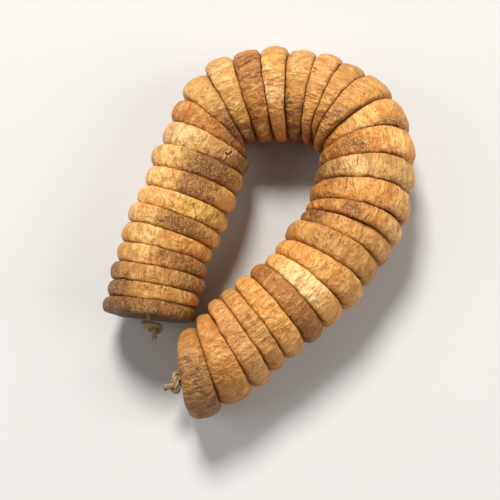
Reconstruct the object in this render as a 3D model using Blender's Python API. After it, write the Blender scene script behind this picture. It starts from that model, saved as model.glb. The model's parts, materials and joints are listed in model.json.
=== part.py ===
"""A strand of dried figs: 34 whole figs, each pressed to a thick disc, threaded face to face on a twine
that is knotted at both ends. The strand lies on a flat surface in an open loop, every fig on its rim.

Units are metres inside Blender. The driving dimensions below are in millimetres and degrees.
+Z is up, +X is to the right and +Y runs from the strand's two ends towards the top of its loop. The origin
is on the surface that the strand lies on, under the middle of its bounding box.
"""

import math
from collections import namedtuple

import bmesh
import bpy
from mathutils import Matrix, Vector, noise

MM = 0.001

# The twine's route through the figs, seen from above, as points in millimetres. It starts at the outer
# face of the first fig and ends at the outer face of the last one, and it stays level.
TWINE_ROUTE = (
    (-45.4, -42.0),
    (-43.8, -34.0),
    (-40.4, -20.0),
    (-36.0, -4.0),
    (-29.0, 11.4),
    (-23.8, 29.4),
    (-18.6, 45.8),
    (-12.0, 54.6),
    (-2.0, 58.2),
    (10.6, 58.4),
    (22.8, 57.6),
    (34.2, 54.4),
    (43.2, 46.8),
    (47.8, 35.6),
    (47.6, 21.4),
    (45.2, 7.6),
    (40.2, -4.4),
    (31.2, -17.0),
    (20.4, -28.8),
    (8.4, -39.2),
    (-2.4, -48.4),
    (-12.4, -57.2),
    (-20.6, -63.4),
    (-30.6, -66.4),
)
TWINE_HEIGHT = 20.0
TWINE_RADIUS = 1.3
TWINE_TAIL = 3.0
TWINE_SIDES_HALF_RESOLUTION = 2

# One row for each fig, from the strand's left end, over the top of the loop, to its right end. The pitch
# is the length of twine that the fig takes up. The heading is the direction, seen from above and counted
# from +X towards +Y, of the face that it turns to the next fig, from the inside of the loop outwards. The
# shift moves the fig off the twine along that direction. The bulge is how square its rim is: 2 is a half
# round, and a larger value is squarer. The skin is one of SKINS.
Fig = namedtuple("Fig", "diameter pitch heading shift bulge skin")
FIRST_HEADING = 174.0
FIGS = (
    Fig(40.6, 6.5, 172.0, 0.2, 2.6, "umber"),
    Fig(40.6, 6.9, 169.5, 0.0, 2.5, "golden"),
    Fig(41.6, 7.4, 168.0, 0.0, 2.4, "golden"),
    Fig(41.2, 7.9, 165.5, 0.0, 2.4, "amber"),
    Fig(41.2, 8.1, 161.5, 0.2, 2.3, "golden"),
    Fig(42.0, 7.9, 159.5, 0.0, 2.3, "umber"),
    Fig(41.6, 8.7, 160.0, -0.3, 2.3, "pale"),
    Fig(42.4, 9.4, 160.5, 0.0, 2.2, "golden"),
    Fig(42.6, 9.8, 158.5, -0.2, 2.3, "umber"),
    Fig(41.2, 9.8, 152.0, -0.8, 2.3, "pale"),
    Fig(40.2, 8.0, 138.0, -0.4, 2.1, "russet"),
    Fig(39.0, 9.2, 118.0, 1.0, 2.0, "pale"),
    Fig(41.4, 9.8, 106.0, 0.2, 2.1, "pale"),
    Fig(42.6, 10.2, 98.0, -0.2, 2.2, "russet"),
    Fig(43.6, 9.2, 87.5, 0.5, 2.2, "golden"),
    Fig(41.8, 9.6, 77.5, 0.2, 2.1, "golden"),
    Fig(42.2, 8.0, 65.5, -0.2, 2.1, "golden"),
    Fig(41.8, 7.4, 49.5, -0.9, 2.2, "golden"),
    Fig(42.8, 9.6, 33.5, -0.4, 2.3, "golden"),
    Fig(41.2, 9.2, 13.0, 1.0, 2.3, "golden"),
    Fig(43.4, 11.2, 1.5, 0.4, 2.2, "amber"),
    Fig(44.2, 10.4, -7.5, 0.0, 2.2, "pale"),
    Fig(44.8, 10.8, -14.5, 0.0, 2.2, "amber"),
    Fig(43.8, 7.0, -22.0, 0.0, 2.2, "russet"),
    Fig(42.0, 7.8, -27.5, -0.4, 2.2, "golden"),
    Fig(43.6, 10.6, -31.0, -1.6, 2.3, "golden"),
    Fig(43.0, 9.8, -38.5, 0.2, 2.2, "golden"),
    Fig(41.6, 9.2, -46.5, 0.2, 2.2, "pale"),
    Fig(42.0, 9.2, -50.0, 0.0, 2.2, "russet"),
    Fig(41.6, 9.3, -53.5, -0.3, 2.2, "golden"),
    Fig(41.0, 8.0, -56.0, -0.4, 2.6, "golden"),
    Fig(41.8, 8.6, -60.5, -0.6, 3.2, "golden"),
    Fig(41.0, 11.0, -73.0, 0.0, 3.2, "amber"),
    Fig(39.4, 11.6, -83.0, 0.4, 2.6, "umber"),
)

# How far the figs lean back along the twine, in degrees, at shares of the strand's length.
LEAN = ((0.0, 7.0), (0.04, 8.5), (0.28, 8.5), (0.48, 6.0), (0.62, 0.5), (0.78, -3.5), (1.0, -3.5))

# Between neighbours, round the twine, and how deep each fig's own weight has pressed its lowest point flat.
FACE_GAP = 0.3
HOLE_CLEARANCE = 0.35
FLAT_DEPTH = 0.8

# A fig squeezed on the inside of a bend is never thinner than its thinnest tip. The rim's rounding is a
# share of its half thickness, the outline's lumps are a share of its radius, and the faces' lumps and the
# dimple round the eye of the two end figs are in millimetres.
THINNEST_TIP = 2.4
SQUEEZE_STEP = 0.25
RIM_ROUNDING = 1.15
OUTLINE_LUMPS = 0.035
FACE_LUMPS = 0.45
EYE_DIMPLE = 1.3

# The mesh of one fig: its sectors, the points across its rim in degrees, the share of the way out that the
# rim takes up, and where an end fig's outer face has one more ring of points.
SECTORS = 24
RIM_ANGLES = (90.0, 54.0, 18.0, -18.0, -54.0, -90.0)
RIM_SHARE = 0.25
EYE_RING = 0.45

# The knot at each end, a round body with two turns of twine laid across it at these tilts in degrees.
KNOT_LENGTH = 4.6
KNOT_WIDTH = 5.6
KNOT_TURN_RADIUS = 1.1
KNOT_TURN_TILTS = (28.0, -34.0)

# Each skin's colour and roughness.
SKINS = {
    "pale": ((0.74, 0.50, 0.24), 0.62),
    "golden": ((0.60, 0.35, 0.13), 0.60),
    "amber": ((0.52, 0.26, 0.08), 0.56),
    "russet": ((0.42, 0.19, 0.06), 0.56),
    "umber": ((0.36, 0.20, 0.08), 0.60),
}
TWINE_COLOUR = (0.42, 0.30, 0.17)
TWINE_ROUGHNESS = 0.85


def clear_scene():
    for obj in list(bpy.data.objects):
        bpy.data.objects.remove(obj, do_unlink=True)


def new_collection(name):
    collection = bpy.data.collections.new(name)
    bpy.context.scene.collection.children.link(collection)
    return collection


def new_material(name, colour, roughness):
    material = bpy.data.materials.new(name)
    material.use_nodes = True
    shader = material.node_tree.nodes["Principled BSDF"]
    shader.inputs["Base Color"].default_value = (*colour, 1.0)
    shader.inputs["Roughness"].default_value = roughness
    shader.inputs["Metallic"].default_value = 0.0
    return material


def spline_point(points, share):
    """A point on the smooth curve through the points, at a share of the way counted in points."""
    spans = len(points) - 1
    span = min(int(share * spans), spans - 1)
    t = share * spans - span
    before = points[span - 1] if span > 0 else 2 * points[0] - points[1]
    after = points[span + 2] if span + 2 <= spans else 2 * points[-1] - points[-2]
    start, end = points[span], points[span + 1]
    return 0.5 * (
        2 * start
        + (end - before) * t
        + (2 * before - 5 * start + 4 * end - after) * t**2
        + (3 * start - before - 3 * end + after) * t**3
    )


class Twine:
    """The twine's centre line, read by its length in millimetres from the first fig's outer face."""

    SAMPLES = 1600

    def __init__(self, route, height):
        points = [Vector((x, y, height)) for x, y in route]
        self.line = [spline_point(points, i / self.SAMPLES) for i in range(self.SAMPLES + 1)]
        self.run = [0.0]
        for before, here in zip(self.line, self.line[1:]):
            self.run.append(self.run[-1] + (here - before).length)
        self.length = self.run[-1]

    def at(self, run):
        """The point at this length along the twine, which goes on straight past both ends."""
        if run <= 0:
            return self.line[0] + (self.line[0] - self.line[1]).normalized() * -run
        if run >= self.length:
            past = (self.line[-1] - self.line[-2]).normalized()
            return self.line[-1] + past * (run - self.length)
        low, high = 0, self.SAMPLES
        while high - low > 1:
            middle = (low + high) // 2
            if self.run[middle] <= run:
                low = middle
            else:
                high = middle
        share = (run - self.run[low]) / (self.run[high] - self.run[low])
        return self.line[low].lerp(self.line[high], share)

    def direction(self, run):
        step = 0.5
        return (self.at(run + step) - self.at(run - step)).normalized()


def lean_at(share):
    """The lean in degrees at a share of the strand's length, by straight steps between the stated ones."""
    for (low, lean_low), (high, lean_high) in zip(LEAN, LEAN[1:]):
        if share <= high:
            return lean_low + (lean_high - lean_low) * (share - low) / (high - low)
    return LEAN[-1][1]


def disc_axes(heading, lean):
    """A fig's outward, upward and along-the-twine directions as the columns of a matrix."""
    heading, lean = math.radians(heading), math.radians(lean)
    outward = Vector((math.cos(heading), math.sin(heading), 0.0))
    level = Vector((math.sin(heading), -math.cos(heading), 0.0))
    along = level * math.cos(lean) + Vector((0.0, 0.0, math.sin(lean)))
    upward = along.cross(outward)
    return Matrix((outward, upward, along)).transposed()


def rim_power(value, exponent):
    return math.copysign(abs(value) ** (2.0 / exponent), value)


def ring_profile(bulge, eye_ring):
    """The fig's cut half as (share of the way out, share of the half thickness), once round its outline."""
    profile = [(0.0, -1.0), (0.0, 0.0), (0.0, 1.0)]
    if eye_ring:
        profile.append((EYE_RING, 1.0))
    for angle in RIM_ANGLES:
        side = math.radians(angle)
        reach = rim_power(math.cos(side), bulge) if abs(angle) < 90.0 else 0.0
        profile.append((1.0 - RIM_SHARE * (1.0 - reach), rim_power(math.sin(side), bulge)))
    if eye_ring:
        profile.append((EYE_RING, -1.0))
    return profile


def spun_ring(name, profile):
    """A ring round local Z whose radius runs from 1 at the twine's hole to 2 at the rim."""
    shape = bmesh.new()
    points = [shape.verts.new((1.0 + out, 0.0, side)) for out, side in profile]
    edges = [shape.edges.new((a, b)) for a, b in zip(points, points[1:] + points[:1])]
    half_sector = Matrix.Rotation(math.pi / SECTORS, 4, "Z")
    bmesh.ops.transform(shape, matrix=half_sector, verts=points)
    bmesh.ops.spin(
        shape,
        geom=points + edges,
        cent=(0.0, 0.0, 0.0),
        axis=(0.0, 0.0, 1.0),
        angle=2.0 * math.pi,
        steps=SECTORS,
        use_merge=True,
    )
    bmesh.ops.remove_doubles(shape, verts=shape.verts, dist=1e-5)
    bmesh.ops.recalc_face_normals(shape, faces=shape.faces)
    mesh = bpy.data.meshes.new(name)
    shape.to_mesh(mesh)
    shape.free()
    return mesh


class FigForm:
    """Turns a spun ring into one fig, pressed between the two planes that part it from its neighbours."""

    def __init__(self, number, fig, frames, twine, runs):
        self.number = number
        self.fig = fig
        (heading_in, lean_in), (heading_out, lean_out) = frames
        self.axes = disc_axes((heading_in + heading_out) / 2, (lean_in + lean_out) / 2)
        middle = (runs[0] + runs[1]) / 2
        self.twine_points = [twine.at(run) for run in (runs[0], middle, runs[1])]
        self.face_axes = (disc_axes(heading_in, lean_in).col[2], disc_axes(heading_out, lean_out).col[2])
        self.open_faces = (number == 1, number == len(FIGS))
        centre = self.twine_points[1] + self.axes.col[0] * fig.shift
        self.put_centre(Vector((centre.x, centre.y, fig.diameter / 2)))

    def put_centre(self, centre):
        """Sets the fig's centre, and with it the twine and the parting planes in the fig's own frame."""
        self.centre = centre
        to_local = self.axes.transposed()
        self.threads = [to_local @ (point - centre) for point in self.twine_points]
        self.planes = [
            (self.threads[0], to_local @ self.face_axes[0]),
            (self.threads[2], to_local @ self.face_axes[1]),
        ]

    def settle(self, spun_points):
        """Lifts or lowers the fig until its lowest point is the flat's depth below the surface."""
        lowest = self.centre.z + min((self.axes @ self.place(point)).z for point in spun_points)
        self.put_centre(self.centre - Vector((0.0, 0.0, lowest + FLAT_DEPTH)))

    def radius(self, turn):
        """The outline's radius before the fig is squeezed, with the lumps that this fig grew."""
        spot = Vector((math.cos(turn), math.sin(turn), 3.7 * self.number))
        lumps = noise.noise(spot * 0.9) + 0.45 * noise.noise(spot * 2.3)
        return self.fig.diameter / 2 * (1.0 + OUTLINE_LUMPS * lumps)

    def between(self, x, y):
        """Where the two parting planes lie on the line through (x, y), along the fig's axis."""
        return [
            point.z - (normal.x * (x - point.x) + normal.y * (y - point.y)) / normal.z
            for point, normal in self.planes
        ]

    def squeezed_radius(self, turn):
        """The outline's radius, drawn in where the neighbours leave less than the thinnest tip."""
        radius = self.radius(turn)
        low, high = self.between(radius * math.cos(turn), radius * math.sin(turn))
        while high - low < THINNEST_TIP:
            radius -= SQUEEZE_STEP
            low, high = self.between(radius * math.cos(turn), radius * math.sin(turn))
        return radius

    def face_lump(self, turn, out, side):
        """How far the face is drawn in from the parting plane, in millimetres."""
        spot = Vector((math.cos(turn), math.sin(turn), 5.1 * self.number + 2.0 * side + 1.5 * out))
        lump = FACE_LUMPS * 0.5 * (1.0 + noise.noise(spot * 1.7))
        is_open = self.open_faces[0] if side < 0 else self.open_faces[1]
        dimple = EYE_DIMPLE * max(0.0, 1.0 - out / (1.0 - RIM_SHARE)) if is_open else 0.0
        return lump * min(1.0, out) + dimple

    def place(self, spun):
        """The local position of one vertex of the spun ring."""
        turn = math.atan2(spun.y, spun.x)
        out = math.hypot(spun.x, spun.y) - 1.0
        side = spun.z
        ray = Vector((math.cos(turn), math.sin(turn), 0.0))
        radius = self.squeezed_radius(turn)
        low, high = self.between(0.9 * radius * ray.x, 0.9 * radius * ray.y)
        rounding = min(RIM_ROUNDING * (high - low) / 2, 0.45 * radius)
        thread = self.threads[1].lerp(self.threads[2] if side > 0 else self.threads[0], abs(side))
        hole = Vector((thread.x, thread.y, 0.0)) + ray * (TWINE_RADIUS + HOLE_CLEARANCE)
        face_edge = ray * (radius - rounding)
        if out <= 1.0 - RIM_SHARE:
            spot = hole.lerp(face_edge, out / (1.0 - RIM_SHARE))
        else:
            spot = face_edge + ray * rounding * (out - 1.0 + RIM_SHARE) / RIM_SHARE
        low, high = self.between(spot.x, spot.y)
        half = (high - low) / 2 - FACE_GAP / 2 - abs(side) * self.face_lump(turn, out, side)
        return Vector((spot.x, spot.y, (low + high) / 2 + side * half))

    def rest(self, local):
        """The vertex lifted to the surface where the fig's own weight has pressed it flat."""
        placed = self.axes @ local + self.centre
        placed.z = max(placed.z, 0.0)
        return self.axes.transposed() @ (placed - self.centre)


def make_fig(form, collection, parent, material):
    name = f"fig_{form.number:02d}"
    mesh = spun_ring(name, ring_profile(form.fig.bulge, any(form.open_faces)))
    form.settle([vertex.co for vertex in mesh.vertices])
    for vertex in mesh.vertices:
        vertex.co = form.rest(form.place(vertex.co)) * MM
    mesh.update()
    mesh.shade_smooth()
    mesh.set_sharp_from_angle(angle=math.radians(60.0))
    mesh.materials.append(material)
    obj = bpy.data.objects.new(name, mesh)
    obj.location = form.centre * MM
    obj.rotation_euler = form.axes.to_euler()
    obj.parent = parent
    collection.objects.link(obj)
    return obj


def solid_of_curve(name, curve_object, collection):
    """The curve's tube as a mesh object with its caps welded on."""
    graph = bpy.context.evaluated_depsgraph_get()
    mesh = bpy.data.meshes.new_from_object(curve_object.evaluated_get(graph))
    shape = bmesh.new()
    shape.from_mesh(mesh)
    bmesh.ops.remove_doubles(shape, verts=shape.verts, dist=1e-6)
    bmesh.ops.recalc_face_normals(shape, faces=shape.faces)
    shape.to_mesh(mesh)
    shape.free()
    mesh.name = name
    obj = bpy.data.objects.new(name, mesh)
    obj.matrix_world = curve_object.matrix_world
    collection.objects.link(obj)
    bpy.data.objects.remove(curve_object)
    return obj


def make_twine_tube(twine, runs, collection):
    """The twine from tail to tail, with a point at each parting plane and in the middle of each fig."""
    stations = [-KNOT_LENGTH - TWINE_TAIL, -KNOT_LENGTH]
    for start, end in zip(runs, runs[1:]):
        stations += [start, (start + end) / 2]
    stations += [runs[-1], runs[-1] + KNOT_LENGTH, runs[-1] + KNOT_LENGTH + TWINE_TAIL]
    curve = bpy.data.curves.new("twine", "CURVE")
    curve.dimensions = "3D"
    curve.bevel_depth = TWINE_RADIUS * MM
    curve.bevel_resolution = TWINE_SIDES_HALF_RESOLUTION
    curve.use_fill_caps = True
    spline = curve.splines.new("POLY")
    spline.points.add(len(stations) - 1)
    for point, run in zip(spline.points, stations):
        point.co = (*(twine.at(run) * MM), 1.0)
    obj = bpy.data.objects.new("twine_tube", curve)
    collection.objects.link(obj)
    return solid_of_curve("twine", obj, collection)


def make_knot_pieces(twine, run, outward, pieces):
    """A knot's round body, and two turns of twine laid across it, pulled up against an end fig."""
    along = twine.direction(run) * outward
    centre = twine.at(run) + along * (KNOT_LENGTH / 2 - EYE_DIMPLE + FACE_GAP)
    turn = along.to_track_quat("Z", "Y").to_matrix().to_4x4()
    place = Matrix.Translation(centre * MM) @ turn
    bpy.ops.mesh.primitive_uv_sphere_add(segments=12, ring_count=8, radius=0.5 * MM)
    body = bpy.context.object
    body.matrix_world = place
    body.data.transform(Matrix.Diagonal((KNOT_WIDTH, KNOT_WIDTH, KNOT_LENGTH, 1.0)))
    made = [body]
    for tilt in KNOT_TURN_TILTS:
        bpy.ops.mesh.primitive_torus_add(
            major_segments=14,
            minor_segments=6,
            major_radius=(KNOT_WIDTH / 2 - KNOT_TURN_RADIUS / 2) * MM,
            minor_radius=KNOT_TURN_RADIUS * MM,
        )
        ring = bpy.context.object
        ring.matrix_world = place @ Matrix.Rotation(math.radians(tilt), 4, "X")
        made.append(ring)
    for piece in made:
        for owner in list(piece.users_collection):
            owner.objects.unlink(piece)
        pieces.objects.link(piece)
        piece.hide_render = True
        piece.display_type = "WIRE"
    return made


def join_by_union(obj, pieces):
    """The object joined with a collection's objects into one closed body, which are then removed."""
    union = obj.modifiers.new("knots", "BOOLEAN")
    union.operation = "UNION"
    union.operand_type = "COLLECTION"
    union.collection = pieces
    union.solver = "EXACT"
    graph = bpy.context.evaluated_depsgraph_get()
    mesh = bpy.data.meshes.new_from_object(obj.evaluated_get(graph))
    obj.modifiers.remove(union)
    obj.data = mesh
    for piece in list(pieces.objects):
        bpy.data.objects.remove(piece)


def make_twine(twine, runs, collection, parent):
    tube = make_twine_tube(twine, runs, collection)
    pieces = new_collection("knot_pieces")
    make_knot_pieces(twine, runs[0], -1.0, pieces)
    make_knot_pieces(twine, runs[-1], 1.0, pieces)
    bpy.context.view_layer.update()
    join_by_union(tube, pieces)
    bpy.data.collections.remove(pieces)
    tube.data.shade_smooth()
    tube.data.set_sharp_from_angle(angle=math.radians(50.0))
    tube.data.materials.clear()
    tube.data.materials.append(new_material("twine", TWINE_COLOUR, TWINE_ROUGHNESS))
    tube.parent = parent


def centre_on_origin(parent):
    """Moves the whole strand so that its bounding box stands centred over the origin."""
    bpy.context.view_layer.update()
    corners = [
        child.matrix_world @ vertex.co for child in parent.children for vertex in child.data.vertices
    ]
    for axis in (0, 1):
        places = [corner[axis] for corner in corners]
        parent.location[axis] -= (min(places) + max(places)) / 2


def build_strand():
    clear_scene()
    collection = new_collection("strand_of_dried_figs")
    strand = bpy.data.objects.new("strand", None)
    collection.objects.link(strand)
    twine = Twine(TWINE_ROUTE, TWINE_HEIGHT)
    scale = twine.length / sum(fig.pitch for fig in FIGS)
    runs = [0.0]
    for fig in FIGS:
        runs.append(runs[-1] + fig.pitch * scale)
    headings = [FIRST_HEADING] + [fig.heading for fig in FIGS]
    faces = [(heading, lean_at(run / twine.length)) for heading, run in zip(headings, runs)]
    skins = {name: new_material(name, *look) for name, look in SKINS.items()}
    for index, fig in enumerate(FIGS):
        form = FigForm(index + 1, fig, faces[index : index + 2], twine, runs[index : index + 2])
        make_fig(form, collection, strand, skins[fig.skin])
    make_twine(twine, runs, collection, strand)
    centre_on_origin(strand)


build_strand()
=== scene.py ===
"""The looks of a strand of dried figs: wrinkled, mottled skins on every fig, a plied twine through
them with a knot at each end, a plain pale floor, soft studio lights and the camera.

Blender's own fields are in metres. Values whose names end in _MM, and the points that the functions
work on, are in millimetres.
"""

import json
import math
from collections import namedtuple
from types import SimpleNamespace

import bpy
import numpy as np
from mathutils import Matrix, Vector


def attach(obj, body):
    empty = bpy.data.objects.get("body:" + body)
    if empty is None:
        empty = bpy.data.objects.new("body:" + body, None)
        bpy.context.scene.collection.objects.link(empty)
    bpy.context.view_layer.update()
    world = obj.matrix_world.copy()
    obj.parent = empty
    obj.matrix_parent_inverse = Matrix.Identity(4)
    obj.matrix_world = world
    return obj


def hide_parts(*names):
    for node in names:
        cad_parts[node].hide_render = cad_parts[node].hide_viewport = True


bl_info = {
    "name": "Strand of Dried Figs",
    "version": (1, 0, 0),
    "blender": (4, 5, 0),
    "location": "3D View > Sidebar > Dried Figs",
    "description": "Dresses a strand of dried figs on a twine, and sets its floor, lights and camera",
    "category": "Object",
}

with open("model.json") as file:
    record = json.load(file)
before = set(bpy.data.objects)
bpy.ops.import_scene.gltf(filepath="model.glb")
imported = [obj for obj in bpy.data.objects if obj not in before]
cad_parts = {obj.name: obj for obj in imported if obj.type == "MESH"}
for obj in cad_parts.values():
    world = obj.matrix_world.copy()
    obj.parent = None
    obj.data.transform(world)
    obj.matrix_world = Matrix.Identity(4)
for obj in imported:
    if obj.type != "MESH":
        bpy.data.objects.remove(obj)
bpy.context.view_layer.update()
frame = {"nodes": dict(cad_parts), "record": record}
MM = 0.001
UP = (0.0, 0.0, 1.0)
FIG_NAMES = sorted(name for name in frame["nodes"] if name.startswith("fig_"))
SLOT_OF_NODE = {part["node"]: part["material_slot"] for part in frame["record"]["subparts"]}

# How a fig's mesh is refined: the distance within which points merge, the angle up to which triangles join,
# the levels of smoothing, the cuts of the rim's edges, where the rim starts as a share of the outline, the
# share of its length by which an edge has to run round the rim, the cuts round a mark, how far beyond the
# mark they go, and the steps of a vertex group's weights.
MERGE_MM = 0.01
JOIN_ANGLE = math.radians(80)
SMOOTH_LEVELS = 2
RIM_CUTS = 3
RIM_START = 0.74
ROUND_SHARE = 0.75
MARK_CUTS = 2
MARK_MARGIN_MM = 0.7
WEIGHT_STEPS = 50

# How a fig's outline is read: the sectors of turn for the edges of its faces, the bins of turn for its
# radius, and the distance from its axis within which a point belongs to the hole.
SECTORS = 24
TURN_BINS = 72
HOLE_REACH_MM = 8.0

# The rim's rounding as a share of its half thickness: in the solids, where it is never more than the second
# share of the outline, and on the dried skin, where it grows by the last share towards the two tips.
SOLID_ROUNDING = 1.15
MOST_ROUNDING = 0.45
TOP_ROUNDING = 0.35
TIP_ROUNDING = 0.48

# Half the thickness from which the rounding grows no more, how full the rim is at its tips, and the points
# on a quarter of its curve.
THICK_HALF_MM = 5.2
TIP_FULLNESS = 0.95
CURVE_POINTS = 240

# Over the solid's rounding, from 0 at the flat face to 1 at the outline: how near 0 a point is at the face's
# edge, and where the skin comes to be pressed against the parting plane.
EDGE_BAND = 0.3
PRESS_FADE = (-0.5, -0.1)

# Where the skin is free to swell. On the rim it is by distance from the axis, as shares of the outline, and
# fades towards the parting planes. On an end's outer face it is outside the hole, and weaker.
FREE_RIM = (0.76, 0.90)
FADE_ACROSS = (0.84, 1.0)
FREE_FACE_MM = (2.4, 5.0)
FREE_FACE_ACROSS = (0.2, 0.9)
FREE_FACE_WEIGHT = 0.75

# How deep inside the outline of the fig beside it a fig is pressed, and the distance from a crease that
# stands for skin that nothing presses on.
PRESS_DEPTH_MM = 0.9
FREE_MM = 20.0

# The height of the ribs for a look of 1, in metres.
RIB_HEIGHT = 1.4 * MM

# The annular map of the skin: its ring's radius, how far it widens for each millimetre from one face over
# the rim to the other, the run over which a slant of 1 turns it by a radian, its size on the map and the
# step between the rings of two figs.
MAP_RING_MM = 21.0
MAP_WIDENING = 0.26
MAP_SLANT_MM = 20.0
MAP_UNIT_MM = 60.0
MAP_STEP = (3.7, 1.9)

# The twine's line: the step between its points, the thickness to which the knots are drawn tight, how far
# apart along the line two points start to push each other, the loose knot's size along and across, how far
# its ends reach, the steps of drawing, and where the line starts inside the end fig's face.
TWINE_STEP_MM = 0.5
KNOT_THICKNESS_MM = 2.45
PUSH_FROM_MM = 1.6 * KNOT_THICKNESS_MM
LOOSE_KNOT_MM = (0.2, 1.3, 1.3)
KNOT_REACH_MM = 16.0
DRAWING_STEPS = 500
TWINE_START_MM = -1.5

# The twine's plies: their number, the sides of each, the share by which they open at a cut end, the share by
# which they thin there, and the lengths over which they do.
PLIES = 3
PLY_SIDES = 10
END_SPREAD = 0.35
END_THINNING = 0.22
END_SPREAD_MM = 2.5
END_THINNING_MM = 1.2

# Two waves of a ply's thickness: its share, its turn for each millimetre and its shift for each ply.
PLY_WAVES = ((0.06, 1.7, 2.1), (0.04, 4.3, 1.0))

# How far a place on the fibres' pattern turns and runs for each millimetre, and the step between two strands.
FIBRE_TWIST = 1.1
FIBRE_RUN = 0.25
STRAND_STEP = 17.0

# The loose fibres at a cut end: how many each ply has, the sides and points of each, how far it starts from
# the ply's middle, how much it leans and droops, the share by which its tip is thinner, and their seed.
FIBRES_PER_PLY = 7
FIBRE_SIDES = 5
FIBRE_POINTS = 7
FIBRE_SCATTER_MM = 0.22
FIBRE_LEAN = 0.42
FIBRE_DROOP = 0.35
FIBRE_THINNING = 0.6
FIBRE_SEED = 5

# The skin's patterns: whether each runs on the annular map, its scale, its detail, its roughness, the shift
# of its seed and its distortion. The last two give pores at their peaks and wrinkles at their middle. The
# seeds of two figs are a step apart.
PATTERNS = {
    "broad": (False, 85.0, 2.0, 0.50, 0.0, 0.0),
    "blotch": (False, 230.0, 4.0, 0.55, 0.0, 0.3),
    "mottle": (False, 1250.0, 4.0, 0.62, 5.0, 0.0),
    "grain": (False, 2400.0, 3.0, 0.60, 0.0, 0.0),
    "pebble": (False, 560.0, 2.0, 0.45, 8.0, 0.0),
    "rib": (True, 26.0, 3.0, 0.55, 0.0, 0.6),
    "hair": (True, 70.0, 4.0, 0.62, 0.0, 0.9),
    "pores": (False, 560.0, 2.0, 0.50, 11.0, 0.0),
    "wrinkles": (True, 22.0, 3.0, 0.50, 2.0, 1.2),
}
SEED_STEP = 3.7

# The numbers of a Mix node's sockets for colours: the one under, the one over it, and the result.
MIX_UNDER, MIX_OVER, MIX_RESULT = 6, 7, 2

# What the skin's colour is multiplied by towards where a neighbour presses on it, partly the darker pressed
# skin and partly painted shade towards the crease, and how far that edge wanders.
PRESSED_SHADE_TINT = (0.7024, 0.6050, 0.5178)
CREASE_WANDER_MM = 0.9

# The stage: the floor's size and roughness, the air's colour and strength, the point that the lights are
# turned to, and each light's place, size, power and colour.
FLOOR_SIZE = 24.0
FLOOR_ROUGHNESS = 0.9
AIR_COLOUR = (1.0, 0.98, 0.95, 1.0)
AIR_STRENGTH = 0.18
LIT_POINT = (0.0, 0.0, 0.02)
LIGHTS = {
    "key_light": ((-0.40, 1.45, 1.90), 0.75, 76.0, (1.0, 0.975, 0.94)),
    "right_light": ((1.7, -0.2, 1.3), 1.3, 21.0, (1.0, 0.98, 0.96)),
    "left_light": ((-1.7, -0.1, 1.3), 1.3, 13.5, (1.0, 0.98, 0.96)),
}

# A patch of another look on a fig, from start to end as shares of the way from its outer tip to its inner
# one. Its side is -1 towards the fig before, 1 towards the next one, and 0 all over.
Patch = namedtuple("Patch", "kind start end strength side", defaults=(0,))

# The kinds of patch that are laid on the skin, in their order, with the strength of each at a weight of 1.
# Syrup comes last, because it soaks through the others; some of its patches are painted shadow where shade
# falls, not syrup. A patch's ends fade over twice its softness, and one on a side fades in between these two
# places across the rim.
PATCH_STRENGTHS = {"olive": 0.8, "blush": 0.8, "rose": 0.8, "bloom": 0.9, "cream": 0.9}
PATCH_KINDS = (*PATCH_STRENGTHS, "syrup")
PATCH_SOFTNESS = 0.15
SIDE_FADE = (-0.1, 0.5)

# A line pressed or torn into a fig: its points as (share of the way to the inner tip, place across the rim
# from -1 to 1), its half width and depth in millimetres, how dark its groove is painted, as painted shade
# down in it, and how pale its lips are painted, partly the lips' paler skin and partly painted highlight.
Mark = namedtuple("Mark", "points width depth dark pale", defaults=(1.0, 0.0))

# Where a mark's groove and the lips beside it start and end, in half widths from its line, and the lips'
# height as a share of the groove's depth.
GROOVE = (0.1, 1.2)
LIP_START = (0.9, 1.5)
LIP_END = (1.5, 2.6)
LIP_HEIGHT = 0.25

# One fig's looks: how high its ribs are beside RIB_HEIGHT, how much they slant, how full its rim is, with 1
# for round and less for squarer, how light its skin is beside others of its tone, its patches and its marks.
FigLook = namedtuple("FigLook", "ribs slant fullness light patches marks", defaults=((), ()))

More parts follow.
